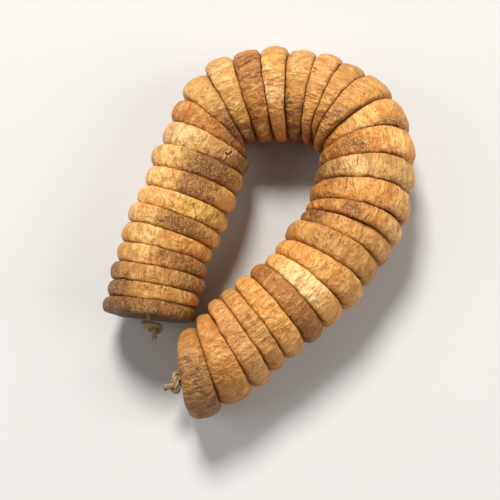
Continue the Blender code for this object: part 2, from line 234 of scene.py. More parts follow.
LOOKS = {
    1: FigLook(0.40, 0.05, 0.58, 0.75, (
        # The syrup, strongest over the outer part, is partly brown skin and partly painted shade.
        Patch("syrup", 0.0, 0.45, 1.0), Patch("syrup", 0.0, 1.0, 0.6), Patch("blush", 0.0, 1.0, 0.9),
    )),
    2: FigLook(0.38, 0.04, 0.53, 0.85, (
        # The syrup patch at the outer tip is partly brown skin and partly painted shadow.
        Patch("syrup", 0.0, 0.3, 0.9), Patch("olive", 0.22, 0.62, 0.3),
    ), (
        Mark(((0.62, 0.7), (0.625, -0.6)), 0.18, 0.30, 0.5),
    )),
    3: FigLook(0.40, 0.02, 0.55, 0.8, (
        Patch("syrup", 0.0, 0.2, 0.6), Patch("bloom", 0.3, 0.6, 0.45), Patch("blush", 0.0, 0.8, 0.6),
        Patch("rose", 0.7, 0.9, 0.5), Patch("syrup", 0.75, 1.0, 0.6),
    )),
    4: FigLook(0.38, 0.05, 0.56, 0.95, (
        Patch("blush", 0.0, 0.12, 0.6), Patch("bloom", 0.12, 0.48, 0.95), Patch("blush", 0.48, 1.0, 0.6),
        Patch("syrup", 0.46, 1.0, 0.55),
    )),
    5: FigLook(0.40, 0.12, 0.56, 1.0, (
        Patch("blush", 0.0, 0.12, 0.7), Patch("bloom", 0.12, 0.5, 0.9), Patch("blush", 0.64, 1.0, 0.6),
    )),
    6: FigLook(0.36, 0.08, 0.57, 1.1, (
        Patch("bloom", 0.0, 0.3, 0.55), Patch("cream", 0.28, 0.44, 0.8), Patch("syrup", 0.4, 0.89, 0.85),
        Patch("bloom", 0.89, 1.0, 0.5),
    ), (
        Mark(((0.402, 0.8), (0.433, -0.5)), 0.18, 0.30, 0.5),
    )),
    7: FigLook(0.32, 0.10, 0.58, 1.15, (
        Patch("bloom", 0.0, 0.2, 0.5), Patch("cream", 0.16, 0.44, 0.5), Patch("olive", 0.42, 1.0, 0.8),
        Patch("syrup", 0.88, 1.0, 0.6, 1),
    ), (
        Mark(((0.393, 0.0), (0.444, -0.3), (0.488, -0.65)), 0.22, 0.4, 0.6),
        Mark(((0.652, 0.45), (0.701, -0.2), (0.739, -0.9)), 0.22, 0.4, 0.6),
    )),
    8: FigLook(0.30, 0.06, 0.60, 1.1, (
        Patch("bloom", 0.0, 0.39, 0.85), Patch("syrup", 0.42, 0.8, 0.9), Patch("blush", 0.8, 1.0, 0.6),
    )),
    9: FigLook(0.42, 0.16, 0.60, 1.05, (
        Patch("bloom", 0.04, 0.43, 0.95), Patch("blush", 0.0, 0.17, 0.3), Patch("syrup", 0.45, 0.97, 1.0),
        Patch("blush", 0.89, 1.0, 0.5),
    ), (
        Mark(((0.292, 0.85), (0.318, -0.3)), 0.2, 0.35, 0.6),
    )),
    10: FigLook(0.34, 0.05, 0.60, 0.93, (
        Patch("cream", 0.05, 0.5, 0.8), Patch("rose", 0.5, 1.0, 0.7), Patch("syrup", 0.62, 0.8, 0.45),
        # The syrup patch at the inner end is painted shadow.
        Patch("syrup", 0.86, 1.0, 0.9),
    ), (
        Mark(((0.795, 0.1), (0.815, 0.0), (0.838, 0.45)), 0.42, 1.3, 1.0, 0.5),
        Mark(((0.815, 0.0), (0.822, -0.35), (0.810, -0.65)), 0.42, 1.3, 1.0, 0.5),
        Mark(((0.594, 0.85), (0.589, -0.6)), 0.25, 0.25, 0.15),
    )),
    11: FigLook(0.34, 0.06, 0.66, 1.1, (
        Patch("blush", 0.0, 0.6, 0.4), Patch("bloom", 0.55, 0.75, 0.3), Patch("syrup", 0.74, 1.0, 0.7),
    )),
    12: FigLook(0.34, 0.08, 0.66, 0.95, (
        Patch("bloom", 0.0, 0.3, 0.3), Patch("rose", 0.5, 1.0, 0.5), Patch("syrup", 0.72, 1.0, 0.75),
    )),
    13: FigLook(0.40, 0.15, 0.64, 1.0, (
        Patch("cream", 0.1, 0.5, 0.45), Patch("bloom", 0.4, 0.66, 0.5), Patch("blush", 0.68, 0.95, 0.75),
        Patch("syrup", 0.97, 1.0, 1.0),
    ), (
        Mark(((0.962, -0.75), (0.97, 0.0), (0.964, 0.75)), 0.45, 1.1, 0.9, 0.9),
    )),
    14: FigLook(0.42, 0.18, 0.62, 1.02, (
        Patch("blush", 0.0, 0.7, 0.6), Patch("syrup", 0.1, 0.62, 0.48), Patch("bloom", 0.75, 1.0, 0.4),
    ), (
        Mark(((0.205, -0.9), (0.174, 0.0), (0.141, 0.8)), 0.3, 0.5, 0.7),
        Mark(((0.265, -0.9), (0.23, 0.0), (0.193, 0.9)), 0.3, 0.6, 0.9),
        Mark(((0.322, -0.7), (0.288, 0.2), (0.253, 0.9)), 0.3, 0.5, 0.7),
    )),
    15: FigLook(0.34, 0.10, 0.62, 1.05, (
        Patch("bloom", 0.1, 0.5, 0.4), Patch("cream", 0.45, 0.9, 0.6), Patch("olive", 0.86, 1.0, 0.45),
    )),
    16: FigLook(0.38, 0.06, 0.64, 1.0, (
        Patch("bloom", 0.10, 0.55, 0.6), Patch("blush", 0.58, 1.0, 0.7), Patch("syrup", 0.64, 1.0, 0.6),
    )),
    17: FigLook(0.26, 0.10, 0.66, 1.05, (
        Patch("rose", 0.0, 0.71, 0.65), Patch("bloom", 0.1, 0.5, 0.45), Patch("syrup", 0.84, 1.0, 0.35),
    ), (
        Mark(((0.359, -0.75), (0.37, -0.5)), 0.35, 0.5, 0.9),
        Mark(((0.402, -0.75), (0.412, -0.6)), 0.35, 0.5, 0.9),
    )),
    18: FigLook(0.28, 0.08, 0.62, 0.92, (Patch("blush", 0.0, 0.7, 0.5), Patch("bloom", 0.75, 1.0, 0.3))),
    19: FigLook(0.30, 0.12, 0.60, 1.02, (
        Patch("bloom", 0.08, 0.5, 0.4), Patch("blush", 0.3, 0.58, 0.35), Patch("rose", 0.58, 0.9, 0.6),
        Patch("syrup", 0.58, 1.0, 0.35),
    )),
    20: FigLook(0.36, 0.10, 0.60, 1.15, (
        # The syrup patch on side 1 is painted shadow along the side towards the next fig.
        Patch("rose", 0.08, 0.35, 0.5), Patch("bloom", 0.3, 0.82, 0.65), Patch("syrup", 0.08, 0.6, 0.6, 1),
        Patch("syrup", 0.84, 1.0, 0.4),
    )),
    21: FigLook(0.36, 0.10, 0.58, 1.26, (
        Patch("bloom", 0.04, 0.40, 0.65), Patch("blush", 0.42, 0.76, 0.35), Patch("syrup", 0.52, 1.0, 0.6),
    )),
    22: FigLook(0.40, 0.08, 0.58, 0.92, (
        Patch("bloom", 0.0, 0.25, 0.7), Patch("olive", 0.2, 0.5, 0.35), Patch("cream", 0.44, 0.8, 0.6),
        Patch("syrup", 0.84, 1.0, 0.8),
    ), (
        Mark(((0.614, -0.95), (0.616, 0.1)), 0.2, 0.5, 0.8),
    )),
    23: FigLook(0.34, 0.06, 0.60, 1.12, (
        Patch("bloom", 0.0, 0.32, 0.5), Patch("blush", 0.38, 1.0, 0.6), Patch("syrup", 0.7, 1.0, 0.45),
    )),
    24: FigLook(0.40, 0.05, 0.62, 1.22, (Patch("bloom", 0.0, 0.28, 0.7), Patch("syrup", 0.4, 0.78, 0.6))),
    25: FigLook(0.42, 0.06, 0.56, 1.0, (
        Patch("bloom", 0.0, 0.2, 0.5), Patch("rose", 0.55, 1.0, 0.4), Patch("syrup", 0.7, 1.0, 0.75),
    )),
    26: FigLook(0.38, 0.08, 0.56, 0.94, (
        Patch("blush", 0.0, 0.25, 0.45), Patch("syrup", 0.29, 0.64, 0.25),
    )),
    27: FigLook(0.30, 0.10, 0.56, 1.15, (Patch("bloom", 0.0, 0.28, 0.4), Patch("blush", 0.45, 1.0, 0.4))),
    28: FigLook(0.36, 0.12, 0.54, 1.15, (
        Patch("blush", 0.0, 0.16, 0.8), Patch("cream", 0.22, 0.84, 0.8), Patch("rose", 0.88, 1.0, 0.3),
    )),
    29: FigLook(0.36, 0.06, 0.54, 0.9, (Patch("syrup", 0.0, 0.22, 0.4), Patch("syrup", 0.5, 1.0, 0.25))),
    30: FigLook(0.40, 0.05, 0.52, 1.15, (
        Patch("blush", 0.0, 0.12, 0.6), Patch("bloom", 0.15, 0.35, 0.5), Patch("bloom", 0.85, 1.0, 0.4),
    )),
    31: FigLook(0.36, 0.05, 0.48, 0.92, (Patch("syrup", 0.3, 0.6, 0.4), Patch("blush", 0.3, 0.7, 0.4))),
    32: FigLook(0.34, 0.06, 0.42, 1.05, (
        Patch("rose", 0.0, 1.0, 0.8), Patch("cream", 0.3, 0.56, 0.35), Patch("syrup", 0.6, 0.78, 0.3),
    ), (
        Mark(((0.804, -0.95), (0.819, 0.0), (0.835, 0.95)), 0.3, 0.9, 1.0, 0.3),
    )),
    33: FigLook(0.24, 0.08, 0.42, 0.96, (Patch("blush", 0.1, 0.8, 0.6), Patch("bloom", 0.78, 1.0, 0.5))),
    34: FigLook(0.36, 0.10, 0.50, 0.74, (
        Patch("rose", 0.0, 0.7, 0.8), Patch("syrup", 0.0, 0.6, 0.45), Patch("blush", 0.6, 1.0, 0.8),
    )),
}


def colour(name, description, default):
    return bpy.props.FloatVectorProperty(
        name=name, description=description, default=default, min=0.0, max=1.0, subtype="COLOR", size=3
    )


def length(name, description, default_mm):
    return bpy.props.FloatProperty(
        name=name, description=description, default=default_mm * MM, min=0.0,
        subtype="DISTANCE", unit="LENGTH",
    )


class SkinSettings(bpy.types.PropertyGroup):
    """The figs' relief and colours."""

    swell_height: length("Swell height", "Height of the broad swells of the rim", 1.0)
    swell_size: length("Swell size", "Width of one broad swell", 10.0)
    dent_height: length("Dent height", "Height of the lumps and dents", 0.55)
    dent_size: length("Dent size", "Width of one lump or dent", 4.4)
    pimple_height: length("Pimple height", "Height of the small pimples over the seeds", 0.14)
    pimple_size: length("Pimple size", "Width of one pimple", 1.2)
    rib_width: length("Rib width", "Width of one rib along the rim", 1.5)
    crease_gap: length("Crease gap", "Gap left between two figs where they meet", 0.10)
    waviness_height: length("Waviness height", "How far the creases and outlines wander", 1.3)
    waviness_size: length("Waviness size", "Length of one wave of the creases", 7.0)
    pale: colour("Pale", "Skin of the pale figs", (0.68, 0.365, 0.100))
    golden: colour("Golden", "Skin of the golden figs", (0.64, 0.300, 0.068))
    amber: colour("Amber", "Skin of the amber figs", (0.59, 0.250, 0.050))
    russet: colour("Russet", "Skin of the russet figs", (0.48, 0.190, 0.034))
    umber: colour("Umber", "Skin of the umber figs", (0.60, 0.300, 0.072))
    # Brown of the syrup that has come through, also used for the painted shadow that some figs' syrup patches
    # lay.
    syrup: colour("Syrup", "Brown where the sugar has come through", (0.19, 0.070, 0.015))
    bloom: colour("Bloom", "Pale dusty bloom", (0.83, 0.505, 0.165))
    cream: colour("Cream", "The palest skin", (0.90, 0.65, 0.30))
    blush: colour("Blush", "Orange blush", (0.63, 0.265, 0.055))
    rose: colour("Rose", "Pinkish skin", (0.58, 0.26, 0.085))
    olive: colour("Olive", "Greenish skin", (0.57, 0.34, 0.060))
    # Painted shade: red-brown laid on the skin just beside the creases, where shade falls.
    seam: colour("Seam", "Red-brown skin beside the creases", (0.26, 0.072, 0.017))
    # Painted shade: the near-black colour laid down in the creases between figs and in the marks' grooves,
    # where shade falls.
    crease: colour("Crease", "Dark skin down in the creases", (0.075, 0.020, 0.007))
    # Partly the pale edge of the pressed or folded skin, partly a painted highlight along the creases and on
    # the marks' lips.
    lip: colour("Lip", "Pale edge of a pressed face", (0.80, 0.46, 0.20))


class TwineSettings(bpy.types.PropertyGroup):
    """The twine's lay, knots and colours."""

    ply_radius: length("Ply radius", "Radius of one of the three plies", 0.64)
    ply_offset: length("Ply offset", "Distance of each ply from the twine's centre", 0.66)
    lay_length: length("Lay length", "Length of one turn of a ply", 6.5)
    knot_distance: length("Knot distance", "From the end fig's outer face to the knot's middle", 3.5)
    tail_length: length("Tail length", "From the end fig's outer face to the twine's cut end", 9.0)
    fibre_radius: length("Fibre radius", "Radius of the loose fibres at the cut ends", 0.09)
    fibre_length: length("Fibre length", "Length of the loose fibres at the cut ends", 1.9)
    main_colour: colour("Main colour", "Natural fibre", (0.42, 0.29, 0.16))
    # Painted shade down between the fibres, and also the colour of the soil's dark patches.
    dark_colour: colour("Dark colour", "Fibre between the strands", (0.20, 0.12, 0.055))
    light_colour: colour("Light colour", "Fibre that catches the light", (0.62, 0.48, 0.30))


class StageSettings(bpy.types.PropertyGroup):
    """The floor and the camera."""

    floor_colour: colour("Floor", "Plain pale floor", (0.565, 0.56, 0.55))
    elevation: bpy.props.FloatProperty(
        name="Elevation",
        description="How far the camera looks down",
        default=math.radians(75.0),
        subtype="ANGLE",
        unit="ROTATION",
    )
    focal_length: bpy.props.FloatProperty(
        name="Focal length", description="Lens of the camera in millimetres", default=90.0, min=10.0
    )
    frame_width: length("Frame width", "Width of the picture at the target", 216.5)
    target: bpy.props.FloatVectorProperty(
        name="Target",
        description="Point that the camera looks at",
        default=(-4.966 * MM, -9.018 * MM, 15.0 * MM),
        subtype="XYZ",
        unit="LENGTH",
    )


def smoothstep(low, high, value):
    share = np.clip((value - low) / (high - low), 0.0, 1.0)
    return share * share * (3.0 - 2.0 * share)


def reach_of(local):
    """Each point's distance from the fig's axis."""
    return np.hypot(local[:, 0], local[:, 1])


def turn_of(local):
    """Each point's turn round the fig's axis, from 0 at its outer tip and upwards from there."""
    return np.arctan2(local[:, 1], local[:, 0])


def run_along(line):
    """How far along the line each of its points is."""
    return np.concatenate(([0.0], np.cumsum(np.linalg.norm(np.diff(line, axis=0), axis=1))))


def read_values(items, field, width, kind=float):
    """A field of all the items of a mesh, one row for each."""
    flat = np.empty(len(items) * width, dtype=kind)
    items.foreach_get(field, flat)
    return flat.reshape(-1, width)


def points_of(obj):
    return read_values(obj.data.vertices, "co", 3) / MM


def set_points(obj, points):
    obj.data.vertices.foreach_set("co", (points * MM).ravel())
    obj.data.update()


def above_floor(points):
    points[:, 2] = np.maximum(points[:, 2], 0.0)
    return points


def plane_through(points, towards):
    """(centre, normal) of the plane that lies nearest to the points, with its normal turned towards."""
    centre = points.mean(axis=0)
    normal = np.linalg.svd(points - centre)[2][2]
    return centre, normal * math.copysign(1.0, normal @ towards)


class FigPlace:
    """Where one fig stands: its centre, its outward, upward and along-the-twine directions, the rings of
    points at its two faces' edges, and the two planes that part it from its neighbours."""

    def __init__(self, name):
        self.name = name
        self.points = np.unique(np.round(points_of(frame["nodes"][name]), 4), axis=0)
        self.centre = (self.points.min(axis=0) + self.points.max(axis=0)) / 2
        self.planes = {}
        self.neighbours = {}

    def face_along(self, towards):
        """Sets the fig's directions, with its flattest way turned towards the next fig, and its rings."""
        flattest = np.linalg.eigh(np.cov((self.points - self.centre).T))[1][:, 0]
        along = flattest * math.copysign(1.0, flattest @ towards)
        outward = np.cross(UP, along)
        outward /= np.linalg.norm(outward)
        self.axes = np.array((outward, np.cross(along, outward), along)).T
        local = self.to_local(self.points)
        sectors = np.floor(np.degrees(turn_of(local)) * SECTORS / 360.0)
        rim = reach_of(local) > HOLE_REACH_MM
        self.rings = {-1: [], 1: []}
        for sector in np.unique(sectors[rim]):
            here = np.flatnonzero(rim & (sectors == sector))
            self.rings[-1].append(self.points[here[local[here, 2].argmin()]])
            self.rings[1].append(self.points[here[local[here, 2].argmax()]])

    def hole_centre(self):
        """The middle of the hole for the twine, in the fig's own directions."""
        local = self.to_local(self.points)
        return local[reach_of(local) < HOLE_REACH_MM].mean(axis=0)

    def to_local(self, points):
        return (points - self.centre) @ self.axes

    def to_world(self, local):
        return local @ self.axes.T + self.centre

    def set_plane(self, side, other):
        """Lays the parting plane on one side through this fig's ring and its neighbour's."""
        self.neighbours[side] = other
        ring = np.array(self.rings[side] + (other.rings[-side] if other else []))
        centre, normal = plane_through(ring, self.axes[:, 2])
        self.planes[side] = (self.to_local(centre), normal @ self.axes)

    def plane_height(self, side, local):
        """How far along the fig's axis the parting plane lies at each point."""
        centre, normal = self.planes[side]
        return centre[2] - ((local[:, :2] - centre[:2]) @ normal[:2]) / normal[2]

    def between_planes(self, local):
        """(the height midway between the two parting planes, half the distance between them)."""
        low, high = self.plane_height(-1, local), self.plane_height(1, local)
        return (low + high) / 2, (high - low) / 2

    def across(self, local):
        """(place between the two parting planes from -1 to 1, half the distance between them)."""
        middle, half = self.between_planes(local)
        return (local[:, 2] - middle) / half, half


def read_places():
    """The places of all figs, in the order of the strand."""
    places = [FigPlace(name) for name in FIG_NAMES]
    beside = list(zip(places, [None, *places[:-1]], [*places[1:], None]))
    for place, before, after in beside:
        place.face_along((after or place).centre - (before or place).centre)
    for place, before, after in beside:
        place.set_plane(-1, before)
        place.set_plane(1, after)
    return places


def select_only(obj):
    bpy.ops.object.select_all(action="DESELECT")
    obj.select_set(True)
    bpy.context.view_layer.objects.active = obj


def merged_copy(node_name, piece_name):
    """A copy of a CAD node's mesh as one closed skin of quads."""
    piece = bpy.data.objects.new(piece_name, frame["nodes"][node_name].data.copy())
    piece.data.name = piece_name
    bpy.context.scene.collection.objects.link(piece)
    select_only(piece)
    bpy.ops.object.mode_set(mode="EDIT")
    bpy.ops.mesh.select_all(action="SELECT")
    bpy.ops.mesh.remove_doubles(threshold=MERGE_MM * MM)
    bpy.ops.mesh.tris_convert_to_quads(face_threshold=JOIN_ANGLE, shape_threshold=JOIN_ANGLE)
    bpy.ops.mesh.normals_make_consistent(inside=False)
    bpy.ops.mesh.customdata_custom_splitnormals_clear()
    bpy.ops.object.mode_set(mode="OBJECT")
    piece.data.materials.clear()
    return piece


def apply_modifier(piece, kind, name, **values):
    modifier = piece.modifiers.new(name, kind)
    for field, value in values.items():
        setattr(modifier, field, value)
    select_only(piece)
    bpy.ops.object.modifier_apply(modifier=modifier.name)


def apply_relief(piece, name, height, uv_map=""):
    """Raises the free skin by the texture of this name, by up to half the height each way."""
    apply_modifier(
        piece, "DISPLACE", name, texture=bpy.data.textures[name], strength=height, mid_level=0.5,
        vertex_group="free_skin", texture_coords="UV" if uv_map else "LOCAL", uv_layer=uv_map,
    )


def cloud_texture(name, size, depth=1):
    """The texture of this name, new or set again."""
    texture = bpy.data.textures.get(name) or bpy.data.textures.new(name, "CLOUDS")
    texture.noise_basis = "IMPROVED_PERLIN"
    texture.noise_scale = size
    texture.noise_depth = depth
    return texture


def apply_waviness(piece, settings):
    """Bends the piece a little, the same way for all pieces at one place, so that none meets another."""
    waves = cloud_texture("waviness", settings.waviness_size, 2)
    waves.cloud_type = "COLOR"
    apply_modifier(
        piece, "DISPLACE", "waviness", texture=waves, direction="RGB_TO_XYZ",
        strength=settings.waviness_height, mid_level=0.5, texture_coords="LOCAL",
    )
    set_points(piece, above_floor(points_of(piece)))


def split_chosen(piece, parts, chosen, cuts):
    """Subdivides the chosen "edges" or "polygons" of the piece."""
    select_only(piece)
    bpy.context.tool_settings.mesh_select_mode = (False, parts == "edges", parts == "polygons")
    bpy.ops.object.mode_set(mode="EDIT")
    bpy.ops.mesh.select_all(action="DESELECT")
    bpy.ops.object.mode_set(mode="OBJECT")
    getattr(piece.data, parts).foreach_set("select", chosen)
    bpy.ops.object.mode_set(mode="EDIT")
    bpy.ops.mesh.subdivide(number_cuts=cuts, smoothness=0.0)
    bpy.ops.object.mode_set(mode="OBJECT")


def cut_rim_finer(piece, place):
    """Splits the edges that run round the rim, so that ribs across it have enough points."""
    local = place.to_local(points_of(piece))
    ends = read_values(piece.data.edges, "vertices", 2, np.int64)
    start, end = local[ends[:, 0]], local[ends[:, 1]]
    middle, run = (start + end) / 2, end - start
    reach = reach_of(middle)
    ray = middle / np.maximum(reach, 1e-6)[:, None]
    run_round = np.abs(run[:, 1] * ray[:, 0] - run[:, 0] * ray[:, 1])
    runs_round = run_round > ROUND_SHARE * np.linalg.norm(run, axis=1)
    on_rim = reach > RIM_START * outline_radius(local, middle)
    split_chosen(piece, "edges", runs_round & on_rim, RIM_CUTS)


def by_turn(local, values, at):
    """The largest of the values in each bin of turn, read smoothly at the turns of other points."""
    bins = np.floor((turn_of(local) / (2 * math.pi) + 0.5) * TURN_BINS).astype(int) % TURN_BINS
    largest = np.zeros(TURN_BINS)
    np.maximum.at(largest, bins, values)
    filled = np.flatnonzero(largest > 0.0)
    largest = np.interp(np.arange(TURN_BINS), filled, largest[filled], period=TURN_BINS)
    smooth = (np.roll(largest, 1) + 2 * largest + np.roll(largest, -1)) / 4
    place = (turn_of(at) / (2 * math.pi) + 0.5) * TURN_BINS - 0.5
    low = np.floor(place).astype(int)
    share = place - low
    return smooth[low % TURN_BINS] * (1 - share) + smooth[(low + 1) % TURN_BINS] * share


def outline_radius(local, at):
    """How far the outline of the points is from the fig's axis, at the turns of other points."""
    return by_turn(local, reach_of(local), at)


def rim_curve(fullness):
    """(share of the way, outward, sideways) along a quarter of the rim, from its middle to the face."""
    angle = np.linspace(0.0, math.pi / 2, CURVE_POINTS)
    outward, sideways = np.cos(angle) ** fullness, np.sin(angle) ** fullness
    run = run_along(np.stack((outward * TOP_ROUNDING, sideways), axis=1))
    return run / run[-1], outward, sideways


def shape_rim(points, place, look, settings):
    """Rounds the rim as the look says, and carries the pressed faces out to it and to the parting planes."""
    local = place.to_local(points)
    across, half = place.across(local)
    reach = reach_of(local)
    outline = outline_radius(local, local)
    tip = np.cos(turn_of(local)) ** 2
    solid_rounding = np.minimum(SOLID_ROUNDING * half, MOST_ROUNDING * outline)
    rounding = np.minimum(half, THICK_HALF_MM) * (TOP_ROUNDING + TIP_ROUNDING * tip)
    solid_edge, edge = outline - solid_rounding, outline - rounding
    out = (reach - solid_edge) / solid_rounding
    pressed = smoothstep(*PRESS_FADE, out)
    stretch = (edge - HOLE_REACH_MM) / (solid_edge - HOLE_REACH_MM)
    face_reach = HOLE_REACH_MM + (reach - HOLE_REACH_MM) * stretch
    full_half = 1.0 - settings.crease_gap / MM / 2 / half
    curves = ((rim_curve(look.fullness), 1.0 - tip), (rim_curve(TIP_FULLNESS), tip))
    for side in (-1, 1):
        this_side = np.sign(across) == side
        at_edge = this_side & (np.abs(out) < EDGE_BAND)
        widest = by_turn(local[at_edge], np.abs(across)[at_edge], local)
        beside = np.clip(np.abs(across) / widest, 0.0, 1.0)
        share = np.arctan2(beside, np.clip(out, 0.0, 1.0)) / (math.pi / 2)
        outward, sideways = (
            sum(np.interp(share, curve[0], curve[way]) * weight for curve, weight in curves) for way in (1, 2)
        )
        rim_reach = outline - rounding * (1.0 - outward)
        moved = this_side & (reach > HOLE_REACH_MM)
        new_reach = np.where(out > 0.0, rim_reach, face_reach)
        local[:, :2] *= np.where(moved, new_reach / reach, 1.0)[:, None]
        new_across = side * (np.abs(across) * (1.0 - pressed) + sideways * full_half * pressed)
        across = np.where(moved, new_across, across)
    middle, half = place.between_planes(local)
    local[:, 2] = middle + across * half
    return place.to_world(local)


def annular_map(local, place, look, number):
    """Each point's place on a ring, so that a pattern on it runs from face to face with no seam."""
    across, half = place.across(local)
    inwards = np.maximum(outline_radius(local, local) - reach_of(local), 0.0)
    run = across * half + np.clip(3.0 * across, -1.0, 1.0) * inwards
    turn = turn_of(local) + look.slant * run / MAP_SLANT_MM
    ring = MAP_RING_MM + MAP_WIDENING * run
    centre = np.array(MAP_STEP) * number
    return centre + np.stack((np.cos(turn), np.sin(turn)), axis=1) * ring[:, None] / MAP_UNIT_MM


def write_map(piece, name, places):
    """Writes a map given for each vertex to the mesh's corners."""
    layer = piece.data.uv_layers.new(name=name)
    corners = read_values(piece.data.loops, "vertex_index", 1, np.int64)[:, 0]
    layer.data.foreach_set("uv", places[corners].astype(np.float32).ravel())


def write_attribute(piece, name, values):
    """Writes a number for each vertex, or the same number for all."""
    attribute = piece.data.attributes.new(name, "FLOAT", "POINT")
    attribute.data.foreach_set("value", np.full(len(attribute.data), values, dtype=np.float32))


def write_group(piece, name, weights):
    group = piece.vertex_groups.new(name=name)
    steps = np.round(weights * WEIGHT_STEPS).astype(int)
    for step in range(1, WEIGHT_STEPS + 1):
        chosen = np.flatnonzero(steps == step).tolist()
        if chosen:
            group.add(chosen, step / WEIGHT_STEPS, "REPLACE")


def relief_weight(local, place):
    """Where the skin is free to swell: on the rim, and on the outer faces of the two end figs."""
    across, _ = place.across(local)
    reach = reach_of(local)
    rim = smoothstep(*FREE_RIM, reach / outline_radius(local, local))
    weight = rim * (1.0 - smoothstep(*FADE_ACROSS, np.abs(across)))
    for side, other in place.neighbours.items():
        if other is None:
            free = smoothstep(*FREE_FACE_MM, reach) * smoothstep(*FREE_FACE_ACROSS, side * across)
            weight = np.maximum(weight, FREE_FACE_WEIGHT * free)
    return weight


def keep_apart(points, place, settings):
    """Holds the skin back from the parting planes and off the surface below."""
    local = place.to_local(points)
    gap = settings.crease_gap / MM / 2
    if place.neighbours[-1]:
        local[:, 2] = np.maximum(local[:, 2], place.plane_height(-1, local) + gap)
    if place.neighbours[1]:
        local[:, 2] = np.minimum(local[:, 2], place.plane_height(1, local) - gap)
    return above_floor(place.to_world(local))


def crease_distance(local, place):
    """Each point's distance from where the figs beside it press on it."""
    nearest = np.full(len(local), FREE_MM)
    for side, other in place.neighbours.items():
        if other is None:
            continue
        off_plane = side * (place.plane_height(side, local) - local[:, 2])
        beside = other.to_local(place.to_world(local))
        outline = outline_radius(other.to_local(other.points), beside)
        beyond = reach_of(beside) - outline + PRESS_DEPTH_MM
        nearest = np.minimum(nearest, np.hypot(off_plane, np.maximum(beyond, 0.0)))
    return nearest


def soft_edge(inside):
    """0 to 1 over a patch's soft edge, by how far inside the patch a point is."""
    return np.clip(inside / (2.0 * PATCH_SOFTNESS) + 0.5, 0.0, 1.0)


def patch_weights(local, place, look):
    """The strength of every kind of patch at each point."""
    share = (1.0 - np.cos(turn_of(local))) / 2
    across, _ = place.across(local)
    weights = {kind: np.zeros(len(local)) for kind in PATCH_KINDS}
    for patch in look.patches:
        weight = np.full(len(local), patch.strength)
        if patch.start > 0.0:
            weight *= soft_edge(share - patch.start)
        if patch.end < 1.0:
            weight *= soft_edge(patch.end - share)
        if patch.side:
            weight *= smoothstep(*SIDE_FADE, patch.side * across)
        weights[patch.kind] = np.maximum(weights[patch.kind], weight)
    return weights


def mark_distance(local, place, mark):
    """Each point's distance from the mark's line over the rim."""
    across, half = place.across(local)
    at = np.stack((turn_of(local), across), axis=1)
    scale = np.stack((outline_radius(local, local), half), axis=1)
    corners = [np.array((math.acos(1.0 - 2.0 * share), side)) for share, side in mark.points]
    nearest = np.full(len(local), np.inf)
    for start, end in zip(corners, corners[1:]):
        run, way = (end - start) * scale, (at - start) * scale
        along = np.clip(np.sum(run * way, axis=1) / np.sum(run * run, axis=1), 0.0, 1.0)
        nearest = np.minimum(nearest, np.linalg.norm(way - run * along[:, None], axis=1))
    return nearest


def cut_marks_finer(piece, place, look):
    """Splits the faces round the fig's marks, so that a thin groove has enough points."""
    local = place.to_local(read_values(piece.data.polygons, "center", 3) / MM)
    near = np.zeros(len(local), dtype=bool)
    for mark in look.marks:
        near |= mark_distance(local, place, mark) < 1.5 * mark.width + MARK_MARGIN_MM
    if near.any():
        split_chosen(piece, "polygons", near, MARK_CUTS)


def press_marks(points, place, look):
    """(the points with the fig's marks pressed in, how dark the painted shade in the marks' grooves is at
    each point, and how pale their lips are, partly painted highlight).
    """
    local = place.to_local(points)
    dark, pale, depth = np.zeros((3, len(local)))
    for mark in look.marks:
        distance = mark_distance(local, place, mark) / mark.width
        groove = 1.0 - smoothstep(*GROOVE, distance)
        lip = smoothstep(*LIP_START, distance) * (1.0 - smoothstep(*LIP_END, distance))
        depth = np.maximum(depth, mark.depth * groove) - LIP_HEIGHT * mark.depth * mark.pale * lip
        dark = np.maximum(dark, mark.dark * groove)
        pale = np.maximum(pale, mark.pale * lip)
    reach = reach_of(local)
    local[:, :2] *= ((reach - depth) / reach)[:, None]
    return place.to_world(local), dark, pale


def new_skin(place, number, settings):
    """One fig's skin over its solid."""
    look = LOOKS[number]
    piece = merged_copy(place.name, f"dried_{place.name}")
    apply_modifier(piece, "SUBSURF", "smoothing", levels=SMOOTH_LEVELS, render_levels=SMOOTH_LEVELS)
    set_points(piece, shape_rim(points_of(piece), place, look, settings))
    cut_rim_finer(piece, place)
    cut_marks_finer(piece, place, look)
    local = place.to_local(points_of(piece))
    write_map(piece, "skin_map", annular_map(local, place, look, number))
    write_group(piece, "free_skin", relief_weight(local, place))
    apply_relief(piece, "swells", settings.swell_height)
    apply_relief(piece, "dents", settings.dent_height)
    apply_relief(piece, "ribs", look.ribs * RIB_HEIGHT, "skin_map")
    apply_relief(piece, "pimples", settings.pimple_height)
    points, dark, pale = press_marks(points_of(piece), place, look)
    set_points(piece, keep_apart(points, place, settings))
    piece.vertex_groups.clear()
    local = place.to_local(points_of(piece))
    values = {"fig_number": number, "light": look.light, "dark_mark": dark, "pale_mark": pale}
    values.update(patch_weights(local, place, look), from_crease=crease_distance(local, place))
    for name, value in values.items():
        write_attribute(piece, name, value)
    apply_waviness(piece, settings)
    piece.data.shade_smooth()
    return piece


